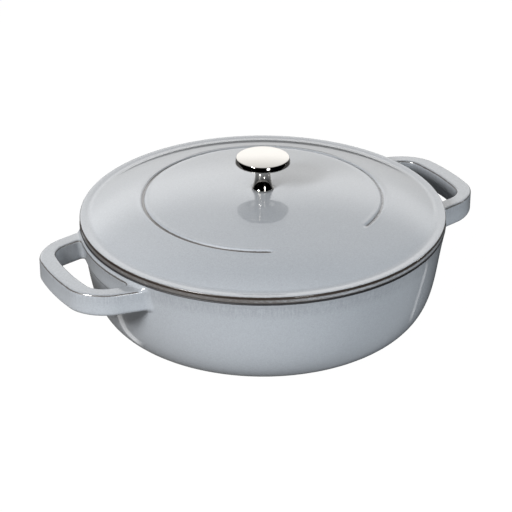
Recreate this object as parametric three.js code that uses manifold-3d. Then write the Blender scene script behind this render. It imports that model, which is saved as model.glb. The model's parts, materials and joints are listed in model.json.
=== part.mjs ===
// A low round cooking pot of enamelled cast iron, with two cast loop handles, a domed lid and a metal knob.
// Millimetres, +Z up. The origin lies on the pot's axis at the level of the worktop.
// The handles lie along X, and the break in the lid's ring groove faces -Y.

import * as THREE from 'three';
import { mergeVertices } from 'three/addons/utils/BufferGeometryUtils.js';
import Module from 'manifold-3d';

const wasm = await Module();
wasm.setup();

// Bowl
const rimRadius = 143.3;        // outside of the wall at the rim
const rimHeight = 81;           // top of the rim above the worktop
const rimRound = 1;             // rounding of the rim's two edges
const wallLean = 11.3;          // degrees that the wall leans in just below the rim
const wallPull = 48.5;          // how far the wall keeps that lean before it curves in
const baseRadius = 91;          // where the wall's curve runs out on the worktop
const basePull = 50.6;          // how far the curve stays low beside the base
const wallThickness = 4;
const floorThickness = 4.4;
const contactRing = 13;         // width of the flat ring that the pot stands on
const baseRecess = 0.8;         // depth of the shallow recess inside that ring

// Loop handles
const handleReach = 37.8;       // from the rim out to the grip's outer face
const gripWidth = 13.6;         // grip, seen from above
const armWidth = 12.2;          // arm, seen from above, square to its length
const armSplay = 11.75;         // degrees that each arm opens towards the bowl
const gripHalfLength = 46.9;    // half the grip, out to where the arms' outer edges meet it
const gripCorner = 21;          // outer corner, seen from above
const windowCorner = 9;         // finger window's corners beside the grip
const rootFillet = 6;           // fillet where the arms meet the bowl
const handleDrop = 4.4;         // rim down to the handle's top face
const handleThickness = 18;
const handleTopEdge = 2.2;      // rounding of the handle's upper edges
const handleFootEdge = 3;       // and of its lower edges, where the fingers curl round
const ledgeTop = 1.4;           // how far the ledge under the rim stands out of the wall, at its top
const ledgeBottom = 1;          // and at its foot
const ledgeChamfer = 1;

// Lid
const lidInset = 0.3;           // lid's edge lies this far inside the rim's outline
const brimHeight = 5.4;         // brim's top above the rim
const brimWidth = 6;            // flat brim, from the lid's edge to the hollow inside it
const brimRound = 1.3;          // rounding of the brim's upper edge
const brimFillet = 10;          // radius of the hollow between the brim and the dome
const shoulderAngle = 24;       // degrees, slope of the dome where it meets that hollow
const grooveRadius = 92.8;      // ring groove round the crown
const crownRise = 24;           // lid's middle above the rim
const crownDrop = 7;            // lid's middle down to the groove
const grooveWidth = 3.2;
const grooveDepth = 0.9;
const grooveGap = 25;           // degrees left plain on each side of the front
const lidThickness = 4.2;
const flangeClearance = 1;      // between the locating flange and the bowl's wall
const flangeWidth = 4;
const flangeDepth = 4;          // flange reaches this far below the rim
const knobSeatRadius = 11;      // flat in the lid's middle, above and below

// Basting bumps under the lid
const bumpRadius = 3.2;         // root, inside the lid's wall
const bumpTipRadius = 1.6;
const bumpHeight = 2.4;
const bumpRings = 4;
const bumpRingStep = 26;
const firstRingRadius = 31;
const bumpsPerRing = 6;         // in the first ring, and that many more in each ring outside it

// Knob, screw and washer
const knobHeight = 26.7;        // seat to the disc's upper edge
const knobCrown = 0.3;          // how far the disc's top swells
const discRadius = 21.5;        // widest, at the foot of the disc's rim
const discThickness = 4;        // rim of the disc
const discBevel = 1.05;         // how far the rim draws in towards the disc's top
const discShoulder = 0.75;      // how far below the top it turns most
const discEdge = 0.3;           // chamfer under the rim
const discUnderside = 1.4;      // height of the hollow slope under the disc
const neckRadius = 6;
const neckHeight = 13.2;        // narrowest place above the seat
const footRadius = 8.4;
const footBand = 1.2;           // upright band round the stem's foot
const footFlare = 7;            // height over which the foot's flare would reach the neck if it ran on straight
const screwRadius = 3;
const screwClearance = 0.3;
const threadReach = 12;         // screw inside the knob
const threadRunout = 2;         // blind hole beyond the screw's tip
const screwHeadRadius = 5.5;
const screwHeadHeight = 3.6;
const screwHeadRound = 1.2;
const screwTipChamfer = 0.75;
const driveLength = 6.4;        // crossed slots in the screw's head
const driveWidth = 1.4;
const driveDepth = 1.8;
const washerRadius = 7.5;
const washerThickness = 1.5;

// Fineness of the round forms
const roundSegments = 72;
const smallSegments = 24;
const bumpSegments = 5;
const curveSteps = 9;
const arcSteps = 5;
const edgeSteps = 3;
const lidCurveSteps = 5;
const stemSteps = 5;
const fineSteps = 200;          // for reading a radius or a height off a curve

const radians = THREE.MathUtils.degToRad;
const at = (x, y) => new THREE.Vector2(x, y);

// Places worked out from the sizes above
const innerRimRadius = rimRadius - wallThickness;
const handleTop = rimHeight - handleDrop;
const handleBottom = handleTop - handleThickness;
const gripRadius = rimRadius + handleReach;
const lidRadius = rimRadius - lidInset;
const brimTop = rimHeight + brimHeight;
const crownTop = rimHeight + crownRise;
const lidBoreRadius = screwRadius + screwClearance;
const lidUnderTop = crownTop - lidThickness;
const washerBottom = lidUnderTop - washerThickness;

// Solids: a closed geometry becomes a solid for joining and cutting, and goes back to a plain geometry.

function toSolid(geometry) {
  geometry.deleteAttribute('normal');
  geometry.deleteAttribute('uv');
  const merged = mergeVertices(geometry);
  const corners = merged.index.array;
  const triVerts = [];
  for (let i = 0; i < corners.length; i += 3) {
    const [a, b, c] = [corners[i], corners[i + 1], corners[i + 2]];
    if (a !== b && b !== c && c !== a) {
      triVerts.push(a, b, c);
    }
  }
  return new wasm.Manifold(new wasm.Mesh({
    numProp: 3,
    vertProperties: new Float32Array(merged.attributes.position.array),
    triVerts: new Uint32Array(triVerts),
  }));
}

function toGeometry(solid) {
  const { vertProperties, triVerts } = solid.getMesh();
  const geometry = new THREE.BufferGeometry();
  geometry.setAttribute('position', new THREE.BufferAttribute(vertProperties, 3));
  geometry.setIndex(new THREE.BufferAttribute(triVerts, 1));
  geometry.computeVertexNormals();
  return geometry;
}

// A profile of radius and height, listed from the bottom outwards, up and back, turned about Z.
function revolve(profile, segments = roundSegments) {
  const turned = new THREE.LatheGeometry(profile, segments);
  turned.rotateX(Math.PI / 2);
  return toSolid(turned);
}

// A closed profile that goes round a hole ends where it started.
function revolveRing(profile, segments = roundSegments) {
  return revolve([...profile, profile[0].clone()], segments);
}

// A straight prism over an outline.
function prism(outline, bottom, top) {
  const geometry = new THREE.ExtrudeGeometry(new THREE.Shape(outline), {
    depth: top - bottom,
    bevelEnabled: false,
  });
  geometry.translate(0, 0, bottom);
  return toSolid(geometry);
}

function arc(centre, radius, fromAngle, toAngle, steps = arcSteps) {
  const points = [];
  for (let i = 0; i <= steps; i += 1) {
    const angle = THREE.MathUtils.lerp(fromAngle, toAngle, i / steps);
    points.push(at(centre.x + radius * Math.cos(angle), centre.y + radius * Math.sin(angle)));
  }
  return points;
}

// The same curve moved sideways to the right of its direction by a thickness that may change along it.
function offsetCurve(curve, thicknessAt, steps = curveSteps) {
  const points = [];
  for (let i = 0; i <= steps; i += 1) {
    const share = i / steps;
    const point = curve.getPoint(share);
    const tangent = curve.getTangent(share);
    const thickness = thicknessAt(share);
    points.push(at(point.x + tangent.y * thickness, point.y - tangent.x * thickness));
  }
  return points;
}

// Bowl: the outer wall leans in from the rim and curves into the base. The inside follows it.

const wallLeanAngle = radians(wallLean);
const wallTop = at(rimRadius, rimHeight - rimRound);
const wallCurve = new THREE.CubicBezierCurve(
  wallTop,
  at(wallTop.x - wallPull * Math.sin(wallLeanAngle), wallTop.y - wallPull * Math.cos(wallLeanAngle)),
  at(baseRadius + basePull, 0),
  at(baseRadius, 0),
);

function wallRadiusAt(height) {
  const points = wallCurve.getPoints(fineSteps);
  const next = points.findIndex((point) => point.y <= height);
  const above = points[Math.max(next - 1, 0)];
  const below = points[next];
  const share = above.y === below.y ? 0 : (above.y - height) / (above.y - below.y);
  return THREE.MathUtils.lerp(above.x, below.x, share);
}

function bowlOutside() {
  const recessRadius = baseRadius - contactRing;
  return revolve([
    at(0, baseRecess),
    at(recessRadius - baseRecess, baseRecess),
    at(recessRadius, 0),
    ...wallCurve.getPoints(curveSteps).reverse(),
    ...arc(at(rimRadius - rimRound, rimHeight - rimRound), rimRound, 0, Math.PI / 2, 2).slice(1),
    at(0, rimHeight),
  ]);
}

function bowlInside() {
  const aboveRim = rimHeight + brimHeight;
  const thicknessAt = (share) => THREE.MathUtils.lerp(wallThickness, floorThickness, share);
  const wall = offsetCurve(wallCurve, thicknessAt).reverse();
  const topOfWall = wall.pop();
  const lipCentre = at(topOfWall.x + rimRound, rimHeight - rimRound);
  return revolve([
    at(0, floorThickness),
    ...wall,
    ...arc(lipCentre, rimRound, Math.PI, Math.PI / 2, 2),
    at(lipCentre.x, aboveRim),
    at(0, aboveRim),
  ]);
}

// Handle plan. Each arm's edge is a straight line at a set distance from the pot's axis. A tangent arc joins
// such a line to a circle round the axis: on the inner (-1) or outer (+1) side of the line and of the circle.

const splay = radians(armSplay);
const alongArm = at(Math.cos(splay), -Math.sin(splay));
const acrossArm = at(Math.sin(splay), Math.cos(splay));
const gripEnd = at(Math.sqrt(gripRadius ** 2 - gripHalfLength ** 2), gripHalfLength);
const armOuterEdge = acrossArm.dot(gripEnd);
const armInnerEdge = armOuterEdge - armWidth;

function tangentArc(edge, circleRadius, radius, lineSide, circleSide) {
  const fromAxis = edge + lineSide * radius;
  const centreRadius = circleRadius + circleSide * radius;
  const along = Math.sqrt(centreRadius ** 2 - fromAxis ** 2);
  const centre = acrossArm.clone().multiplyScalar(fromAxis).addScaledVector(alongArm, along);
  const toLine = acrossArm.clone().multiplyScalar(-lineSide);
  const toCircle = centre.clone().normalize().multiplyScalar(-circleSide);
  const lineAngle = Math.atan2(toLine.y, toLine.x);
  let circleAngle = Math.atan2(toCircle.y, toCircle.x);
  if (circleAngle - lineAngle > Math.PI) {
    circleAngle -= 2 * Math.PI;
  }
  if (lineAngle - circleAngle > Math.PI) {
    circleAngle += 2 * Math.PI;
  }
  return arc(centre, radius, lineAngle, circleAngle);
}

// Half an outline from inside the bowl's wall, along the arm, round the corner to the middle of the grip.
function halfOutline(edge, outerRadius, cornerRadius, wallRadius, filletRadius, rootSide) {
  const root = tangentArc(edge, wallRadius, filletRadius, rootSide, 1).reverse();
  const corner = tangentArc(edge, outerRadius, cornerRadius, -1, -1);
  const insideWall = root[0].clone().multiplyScalar(1 - wallThickness / wallRadius);
  const cornerEnd = corner[corner.length - 1];
  const endAngle = Math.atan2(cornerEnd.y, cornerEnd.x);
  const grip = arc(at(0, 0), outerRadius, endAngle, 0).slice(1);
  return [insideWall, ...root, ...corner, ...grip];
}

function bothHalves(half) {
  const otherHalf = half.slice(0, -1).reverse().map((point) => at(point.x, -point.y));
  return [...half, ...otherHalf];
}

// The loop's side from its foot to its top: how far it is drawn in, and its height.
function sideLevels() {
  const footCentre = at(handleFootEdge, handleBottom + handleFootEdge);
  const topCentre = at(handleTopEdge, handleTop - handleTopEdge);
  return [
    ...arc(footCentre, handleFootEdge, -Math.PI / 2, -Math.PI, edgeSteps),
    ...arc(topCentre, handleTopEdge, Math.PI, Math.PI / 2, edgeSteps),
  ];
}

// Drawing a side in by some amount moves its lines and circles by that amount and keeps its arcs' centres.
function outerOutline(drawnIn) {
  const wallRadius = wallRadiusAt(handleBottom) - drawnIn;
  return bothHalves(halfOutline(
    armOuterEdge - drawnIn,
    gripRadius - drawnIn,
    gripCorner - drawnIn,
    wallRadius,
    rootFillet + drawnIn,
    1,
  ));
}

function windowOutline(drawnIn) {
  const wallRadius = wallRadiusAt(handleBottom) + ledgeBottom - drawnIn;
  return bothHalves(halfOutline(
    armInnerEdge + drawnIn,
    gripRadius - gripWidth + drawnIn,
    windowCorner + drawnIn,
    wallRadius,
    rootFillet + drawnIn,
    -1,
  ));
}

// The loop is one rounded section swept from root to root: up the outer side, then down the window's side.
function handleLoop() {
  const levels = sideLevels();
  const outerSides = levels.map((level) => ({ height: level.y, outline: outerOutline(level.x) }));
  const windowSides = levels.map((level) => ({ height: level.y, outline: windowOutline(level.x) }));
  const section = [...outerSides, ...windowSides.reverse()];
  const stations = section[0].outline.length;
  const positions = [];
  for (let station = 0; station < stations; station += 1) {
    for (const { height, outline } of section) {
      positions.push(outline[station].x, outline[station].y, height);
    }
  }
  const corners = section.length;
  const triangles = [];
  for (let station = 0; station + 1 < stations; station += 1) {
    for (let corner = 0; corner < corners; corner += 1) {
      const next = (corner + 1) % corners;
      const here = station * corners;
      const there = here + corners;
      triangles.push(here + corner, here + next, there + next);
      triangles.push(here + corner, there + next, there + corner);
    }
  }
  const lastStation = (stations - 1) * corners;
  for (let corner = 1; corner + 1 < corners; corner += 1) {
    triangles.push(0, corner + 1, corner);
    triangles.push(lastStation, lastStation + corner, lastStation + corner + 1);
  }
  const geometry = new THREE.BufferGeometry();
  geometry.setAttribute('position', new THREE.Float32BufferAttribute(positions, 3));
  geometry.setIndex(triangles);
  return toSolid(geometry);
}

// The ledge is the strip of thicker wall between the arms, a little proud of the bowl.
function handleLedge() {
  const topRadius = wallRadiusAt(handleTop) + ledgeTop;
  const bottomRadius = wallRadiusAt(handleBottom) + ledgeBottom;
  const backRadius = bottomRadius - ledgeBottom - wallThickness / 2;
  const ring = revolveRing([
    at(backRadius, handleBottom),
    at(bottomRadius - ledgeChamfer, handleBottom),
    at(bottomRadius, handleBottom + ledgeChamfer),
    at(topRadius, handleTop - ledgeChamfer),
    at(topRadius - ledgeChamfer, handleTop),
    at(backRadius, handleTop),
  ]);
  const armMiddle = acrossArm.clone().multiplyScalar((armOuterEdge + armInnerEdge) / 2);
  const farOut = armMiddle.clone().addScaledVector(alongArm, gripRadius);
  const betweenArms = prism([
    at(armMiddle.x, -armMiddle.y),
    at(farOut.x, -farOut.y),
    farOut,
    armMiddle,
  ], handleBottom - handleFootEdge, handleTop + handleTopEdge);
  return ring.intersect(betweenArms);
}

function handle() {
  return handleLoop().add(handleLedge());
}

function potBody() {
  const right = handle();
  const left = right.rotate([0, 0, 180]);
  return bowlOutside().add(right).add(left).subtract(bowlInside());
}

// Lid: a crown that falls to the ring groove, a steeper flank, a hollow at its foot and a flat brim.

const groovePoint = at(grooveRadius, crownTop - crownDrop);
const crownEdge = at(knobSeatRadius, crownTop);
const crownControl = at((crownEdge.x + groovePoint.x) / 2, crownTop);
const crownCurve = new THREE.QuadraticBezierCurve(crownEdge, crownControl, groovePoint);
const shoulder = radians(shoulderAngle);
const hollowCentre = at(lidRadius - brimWidth, brimTop + brimFillet);
const flankFoot = at(
  hollowCentre.x - brimFillet * Math.sin(shoulder),
  hollowCentre.y - brimFillet * Math.cos(shoulder),
);

function flankCurve() {
  const slope = (groovePoint.y - crownControl.y) / (groovePoint.x - crownControl.x);
  const footSlope = -Math.tan(shoulder);
  const meetX = (flankFoot.y - groovePoint.y + slope * groovePoint.x - footSlope * flankFoot.x)
    / (slope - footSlope);
  const meet = at(meetX, groovePoint.y + slope * (meetX - groovePoint.x));
  return new THREE.QuadraticBezierCurve(groovePoint, meet, flankFoot);
}

function lidShell() {
  const flank = flankCurve();
  const flangeOuter = innerRimRadius - flangeClearance;
  const flangeInner = flangeOuter - flangeWidth;
  const flangeBottom = rimHeight - flangeDepth;
  const evenThickness = () => lidThickness;
  const underCrown = offsetCurve(crownCurve, evenThickness, lidCurveSteps);
  const underFlank = offsetCurve(flank, evenThickness, lidCurveSteps)
    .slice(1)
    .filter((point) => point.x < flangeInner - rimRound);
  const hollow = arc(hollowCentre, brimFillet, -Math.PI / 2 - shoulder, -Math.PI / 2, 2);
  const edgeCentre = at(lidRadius - brimRound, brimTop - brimRound);
  return revolveRing([
    at(lidBoreRadius, lidUnderTop),
    ...underCrown,
    ...underFlank,
    at(flangeInner, rimHeight),
    at(flangeInner + rimRound, flangeBottom),
    at(flangeOuter - rimRound, flangeBottom),
    at(flangeOuter, flangeBottom + rimRound),
    at(flangeOuter, rimHeight),
    at(lidRadius - rimRound, rimHeight),
    at(lidRadius, rimHeight + rimRound),
    ...arc(edgeCentre, brimRound, 0, Math.PI / 2, 2),
    ...hollow.reverse(),
    ...flank.getPoints(lidCurveSteps).reverse().slice(1, -1),
    ...crownCurve.getPoints(lidCurveSteps).reverse(),
    at(lidBoreRadius, crownTop),
  ]);
}

// The ring groove is broken in front, where the crown stays plain.
function ringGroove() {
  const ring = revolveRing([
    at(grooveRadius, groovePoint.y - grooveDepth),
    at(grooveRadius + grooveWidth / 2, groovePoint.y),
    at(grooveRadius, groovePoint.y + grooveDepth),
    at(grooveRadius - grooveWidth / 2, groovePoint.y),
  ]);
  const reach = 2 * grooveRadius;
  const front = prism([
    at(0, 0),
    at(-reach * Math.sin(radians(grooveGap)), -reach * Math.cos(radians(grooveGap))),
    at(reach * Math.sin(radians(grooveGap)), -reach * Math.cos(radians(grooveGap))),
  ], groovePoint.y - grooveWidth, groovePoint.y + grooveWidth);
  return ring.subtract(front);
}

// The lid's underside as a row of points, from the knob's seat to the foot of the flank.
function underside() {
  return [crownCurve, flankCurve()].flatMap((curve) => offsetCurve(curve, () => lidThickness, fineSteps));
}

// Condensed steam gathers on rings of small bumps and drips back into the food.
function bastingBump() {
  return revolve([
    at(0, -bumpHeight),
    at(bumpTipRadius, -bumpHeight),
    at(bumpRadius, lidThickness / 2),
    at(0, lidThickness / 2),
  ], bumpSegments);
}

function bastingBumps() {
  const bump = bastingBump();
  const under = underside();
  const bumps = [];
  for (let ring = 0; ring < bumpRings; ring += 1) {
    const radius = firstRingRadius + ring * bumpRingStep;
    const place = under.find((point) => point.x >= radius);
    const count = place ? bumpsPerRing * (ring + 1) : 0;
    for (let i = 0; i < count; i += 1) {
      const angle = (2 * Math.PI * (i + 0.5)) / count;
      bumps.push(bump.translate([radius * Math.cos(angle), radius * Math.sin(angle), place.y]));
    }
  }
  return bumps;
}

function lid() {
  const grooved = lidShell().subtract(ringGroove());
  return bastingBumps().reduce((whole, bump) => whole.add(bump), grooved);
}

// Knob: a nearly flat disc with a leaning rim on a waisted stem, with a blind hole for the screw.
function knob() {
  const discTop = knobHeight;
  const discBottom = discTop - discThickness;
  const faceRadius = discRadius - discBevel;
  const holeRadius = screwRadius + screwClearance;
  const foot = new THREE.QuadraticBezierCurve(
    at(footRadius, footBand),
    at(neckRadius, footBand + footFlare),
    at(neckRadius, neckHeight),
  );
  const flare = new THREE.QuadraticBezierCurve(
    at(neckRadius, neckHeight),
    at(neckRadius, discBottom - discUnderside),
    at(discRadius - discEdge, discBottom),
  );
  const rim = new THREE.QuadraticBezierCurve(
    at(discRadius, discBottom + discEdge),
    at(discRadius - discBevel / 4, discTop - discShoulder),
    at(faceRadius, discTop),
  );
  const face = new THREE.QuadraticBezierCurve(
    at(faceRadius, discTop),
    at(faceRadius / 2, discTop + knobCrown),
    at(0, discTop + knobCrown),
  );
  const profile = [
    at(holeRadius, 0),
    at(footRadius, 0),
    ...foot.getPoints(stemSteps).slice(0, -1),
    ...flare.getPoints(stemSteps),
    ...rim.getPoints(stemSteps - 2),
    ...face.getPoints(edgeSteps).slice(1),
    at(0, threadReach + threadRunout),
    at(holeRadius, threadReach + threadRunout - holeRadius / 2),
  ];
  return revolveRing(profile, smallSegments).translate([0, 0, crownTop]);
}

function knobWasher() {
  return revolveRing([
    at(lidBoreRadius, washerBottom),
    at(washerRadius, washerBottom),
    at(washerRadius, lidUnderTop),
    at(lidBoreRadius, lidUnderTop),
  ], smallSegments);
}

function knobScrew() {
  const headBottom = washerBottom - screwHeadHeight;
  const tip = crownTop + threadReach;
  const rounding = at(screwHeadRadius - screwHeadRound, headBottom + screwHeadRound);
  const screw = revolve([
    at(0, headBottom),
    ...arc(rounding, screwHeadRound, -Math.PI / 2, 0, 3),
    at(screwHeadRadius, washerBottom),
    at(screwRadius, washerBottom),
    at(screwRadius, tip - screwTipChamfer),
    at(screwRadius - screwTipChamfer, tip),
    at(0, tip),
  ], smallSegments);
  const slot = new THREE.BoxGeometry(driveLength, driveWidth, 2 * driveDepth);
  const drive = toSolid(slot).translate([0, 0, headBottom]);
  return screw.subtract(drive).subtract(drive.rotate([0, 0, 90]));
}

// Finishes
const greyEnamel = new THREE.MeshStandardMaterial({ color: 0xb4b8bd, roughness: 0.2, metalness: 0 });
const polishedMetal = new THREE.MeshStandardMaterial({ color: 0xd8d6d2, roughness: 0.12, metalness: 1 });
const plainSteel = new THREE.MeshStandardMaterial({ color: 0x9a9b9d, roughness: 0.4, metalness: 1 });

function named(name, solid, material) {
  const mesh = new THREE.Mesh(toGeometry(solid), material);
  mesh.name = name;
  return mesh;
}

const pot = new THREE.Group();
pot.add(named('pot_body', potBody(), greyEnamel));
const liftedTogether = new THREE.Group();
liftedTogether.add(named('lid', lid(), greyEnamel));
liftedTogether.add(named('knob', knob(), polishedMetal));
liftedTogether.add(named('knob_washer', knobWasher(), plainSteel));
liftedTogether.add(named('knob_screw', knobScrew(), plainSteel));
pot.add(liftedTogether);

export default pot;
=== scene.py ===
# %% [markdown]
# # A low enamelled pot with a domed lid
# This lesson gives a cooking pot its looks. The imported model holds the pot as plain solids, which say where each
# piece is and how it moves. Every solid is replaced here by a finer piece of the same size, with its real finish.
# The pot and the lid are iron castings under glossy pale enamel, and the knob is turned from polished metal.

# %% Open the frame
import itertools
import json
import math
from functools import partial

import bpy
import numpy as np
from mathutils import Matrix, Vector
from mathutils.geometry import delaunay_2d_cdt

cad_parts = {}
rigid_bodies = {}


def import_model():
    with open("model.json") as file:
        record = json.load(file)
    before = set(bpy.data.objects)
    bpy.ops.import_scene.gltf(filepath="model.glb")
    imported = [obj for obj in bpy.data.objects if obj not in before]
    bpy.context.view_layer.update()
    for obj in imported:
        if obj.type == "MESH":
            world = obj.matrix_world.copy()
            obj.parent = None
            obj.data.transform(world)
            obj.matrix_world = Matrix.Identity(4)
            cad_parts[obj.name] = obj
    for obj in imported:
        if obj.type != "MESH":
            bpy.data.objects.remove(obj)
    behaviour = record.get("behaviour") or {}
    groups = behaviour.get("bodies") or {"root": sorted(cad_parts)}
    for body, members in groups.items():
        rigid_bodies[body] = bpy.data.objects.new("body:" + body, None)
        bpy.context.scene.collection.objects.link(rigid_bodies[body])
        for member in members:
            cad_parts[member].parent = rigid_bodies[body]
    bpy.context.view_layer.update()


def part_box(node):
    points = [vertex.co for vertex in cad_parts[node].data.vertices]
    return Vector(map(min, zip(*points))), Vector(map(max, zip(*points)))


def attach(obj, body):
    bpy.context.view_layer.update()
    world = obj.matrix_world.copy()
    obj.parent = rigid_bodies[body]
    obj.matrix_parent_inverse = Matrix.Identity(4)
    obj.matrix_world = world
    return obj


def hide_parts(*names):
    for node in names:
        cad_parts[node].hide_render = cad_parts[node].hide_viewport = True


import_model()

# %% [markdown]
# ## Sizes
# The frame is in metres. The main sizes are read from the solids' boxes, so that each fine piece fits its solid.
# Smaller ones, such as a wall's thickness or an edge's rounding, are written down once, in millimetres.

# %% Main sizes from the solids
MM = 0.001

pot_low, pot_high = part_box("pot_body")
lid_low, lid_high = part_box("lid")
knob_low, knob_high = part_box("knob")
washer_low, washer_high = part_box("knob_washer")
screw_low, screw_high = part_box("knob_screw")

rim_radius = pot_high.y
rim_height = pot_high.z
grip_radius = pot_high.x
lid_radius = lid_high.y
crown_top = lid_high.z
print(f"rim {2 * rim_radius / MM:.1f} mm across, lid top at {crown_top / MM:.1f} mm")

# %% [markdown]
# ## Camera
# The picture was taken with a long lens from a little to the left of the pot's front, looking down on the lid.
# A camera is easiest to place by its direction and distance from a point that it looks at. The long lens keeps
# the two handles nearly the same size.

# %% Place the camera
def towards(side, rise):
    """A direction from the pot: degrees round to the right from its front, and degrees above the floor."""
    side, rise = math.radians(side), math.radians(rise)
    return Vector((math.sin(side) * math.cos(rise), -math.cos(side) * math.cos(rise), math.sin(rise)))


view_side = -30.06
view_rise = 27.64
view_distance = 1.5
aim = Vector((-4.54 * MM, 2.63 * MM, 45.15 * MM))
towards_camera = towards(view_side, view_rise)

camera = bpy.data.objects.new("camera", bpy.data.cameras.new("camera"))
bpy.context.scene.collection.objects.link(camera)
camera.data.sensor_width = 36
camera.data.lens = 132.96
camera.location = aim + view_distance * towards_camera
camera.rotation_euler = (-towards_camera).to_track_quat("-Z", "Y").to_euler()
bpy.context.scene.camera = camera
print("camera at", [round(value, 3) for value in camera.location])

# %% [markdown]
# ## Building nodes from a script
# Materials and Geometry Nodes are both networks of nodes. One helper adds a node, sets its options, and sets
# each input to a value or joins it to the output of another node, so that a network reads from top to bottom.
# Sums are made of Math nodes, which get short names here: plus, minus, times and over.

# %% Helpers for nodes
def add(tree, kind, inputs=None, **options):
    """A new node. Each input takes a value or another node's output."""
    made = tree.nodes.new(kind)
    for name, value in options.items():
        setattr(made, name, value)
    for key, value in (inputs or {}).items():
        if isinstance(value, bpy.types.NodeSocket):
            tree.links.new(value, made.inputs[key])
        else:
            made.inputs[key].default_value = value
    return made


def math_node(tree, operation, *values):
    """The output of a Math node."""
    return add(tree, "ShaderNodeMath", dict(enumerate(values)), operation=operation).outputs[0]


def arithmetic(tree):
    """Plus, minus, times and over, as Math nodes of one tree."""
    return [partial(math_node, tree, operation) for operation in ("ADD", "SUBTRACT", "MULTIPLY", "DIVIDE")]


def vector_of(tree, *numbers):
    """One vector out of up to three numbers."""
    return add(tree, "ShaderNodeCombineXYZ", dict(enumerate(numbers))).outputs[0]


def cleared(owner):
    """The emptied node tree of a material or a world."""
    owner.use_nodes = True
    owner.node_tree.nodes.clear()
    return owner.node_tree


def open_group(name, kind, inputs, outputs):
    """A node group with named sockets, and its input and output nodes."""
    tree = bpy.data.node_groups.new(name, kind)
    for label, socket, default in inputs:
        made = tree.interface.new_socket(label, in_out="INPUT", socket_type=f"NodeSocket{socket}")
        if default is not None:
            made.default_value = default
    for label, socket in outputs:
        tree.interface.new_socket(label, in_out="OUTPUT", socket_type=f"NodeSocket{socket}")
    return tree, tree.nodes.new("NodeGroupInput").outputs, tree.nodes.new("NodeGroupOutput").inputs


# %% [markdown]
# ## From arrays to objects
# A mesh is made from its points and faces. Numbers that each point carries, such as how thin the enamel is
# there, are kept in the mesh as named attributes, which materials can read.

# %% Helpers for meshes
def smooth_step(low, high, value):
    """0 below low, 1 above high, and a smooth way between them."""
    share = np.clip((value - low) / (high - low), 0, 1)
    return share * share * (3 - 2 * share)


def new_mesh(name, points, faces):
    mesh = bpy.data.meshes.new(name)
    mesh.from_pydata(points, [], faces)
    return mesh


def new_object(name, data):
    piece = bpy.data.objects.new(name, data)
    bpy.context.scene.collection.objects.link(piece)
    return piece


def store(mesh, name, values):
    """A number for each point, kept in the mesh under a name."""
    attribute = mesh.attributes.get(name) or mesh.attributes.new(name, "FLOAT", "POINT")
    attribute.data.foreach_set("value", np.asarray(values, np.float32))


def stored(mesh, name):
    """The numbers that a mesh keeps under a name."""
    values = np.empty(len(mesh.vertices), np.float32)
    mesh.attributes[name].data.foreach_get("value", values)
    return values


def mesh_points(mesh):
    """The places of a mesh's points, a row for each."""
    points = np.empty(3 * len(mesh.vertices), np.float32)
    mesh.vertices.foreach_get("co", points)
    return points.reshape(-1, 3)


# %% [markdown]
# ## Outlines
# Everything round is a profile turned about the pot's axis. A profile is a row of points with a radius and a
# height. Straight stretches need two points, round ones are arcs, and free curves, such as the bowl's wall, are
# Bezier curves, which a few handles describe.

# %% Helpers for outlines
def arc(centre, radius, start, end, steps):
    """Points along a round stretch. Angles are in degrees."""
    angle = np.radians(np.linspace(start, end, steps + 1))
    return np.array(centre) + radius * np.column_stack([np.cos(angle), np.sin(angle)])


def bezier(handles, steps):
    """Points along a Bezier curve of any number of handles."""
    share = np.linspace(0, 1, steps + 1)[:, None]
    level = [np.array(handle, float)[None, :] for handle in handles]
    while len(level) > 1:
        level = [near + share * (far - near) for near, far in zip(level, level[1:])]
    return level[0]


def moved_right(curve, distance):
    """A curve moved sideways, to the right of its direction."""
    along = np.gradient(curve, axis=0)
    along /= np.linalg.norm(along, axis=1, keepdims=True)
    return curve + np.column_stack([along[:, 1], -along[:, 0]]) * np.reshape(distance, (-1, 1))


def evenly(curve, count):
    """That many points, evenly spaced along a curve."""
    length = np.concatenate([[0], np.cumsum(np.linalg.norm(np.diff(curve, axis=0), axis=1))])
    wanted = np.linspace(0, length[-1], count)
    return np.column_stack([np.interp(wanted, length, curve[:, axis]) for axis in range(2)])


def joined(stretches):
    """A whole profile out of stretches of points, with how black and how thin the enamel is at each point."""
    points = [np.array(stretch[0], float).reshape(-1, 2) for stretch in stretches]
    black, thin = (
        np.concatenate([np.broadcast_to(stretch[which], len(part)) for stretch, part in zip(stretches, points)])
        for which in (1, 2)
    )
    return np.concatenate(points), black, thin


# %% [markdown]
# ## Stage
# The pot stands on a white floor in an even white studio. The floor glows for the camera alone, so that it looks
# white without lighting the pot from below, and its paint keeps a faint shadow where the pot stands. From below
# the floor is clear, so that the underside can be looked at.

# %% Floor and world
WHITE = (1, 1, 1, 1)
floor_size = 12
floor_glow = 0.9
floor_white = 1.11
floor_paint = 0.15
floor_gap = 0.1 * MM
world_light = 0.1

bpy.context.scene.view_settings.view_transform = "Standard"


def seen_directly(tree):
    """1 for rays that the camera sees, straight or in a reflection or through glass."""
    path = add(tree, "ShaderNodeLightPath").outputs
    glossy = math_node(tree, "MAXIMUM", path["Is Camera Ray"], path["Is Glossy Ray"])
    return math_node(tree, "MAXIMUM", glossy, path["Is Transmission Ray"])


def mixed_shader(tree, share, first, second):
    """A shader that goes from one to another as a share goes from 0 to 1."""
    return add(tree, "ShaderNodeMixShader", {0: share, 1: first.outputs[0], 2: second.outputs[0]})


def studio_world():
    world = bpy.data.worlds.new("studio")
    bpy.context.scene.world = world
    tree = cleared(world)
    shown = add(tree, "ShaderNodeBackground", {"Color": WHITE, "Strength": 1})
    light = add(tree, "ShaderNodeBackground", {"Color": WHITE, "Strength": world_light})
    mixed = mixed_shader(tree, seen_directly(tree), light, shown)
    add(tree, "ShaderNodeOutputWorld", {"Surface": mixed.outputs[0]})


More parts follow.
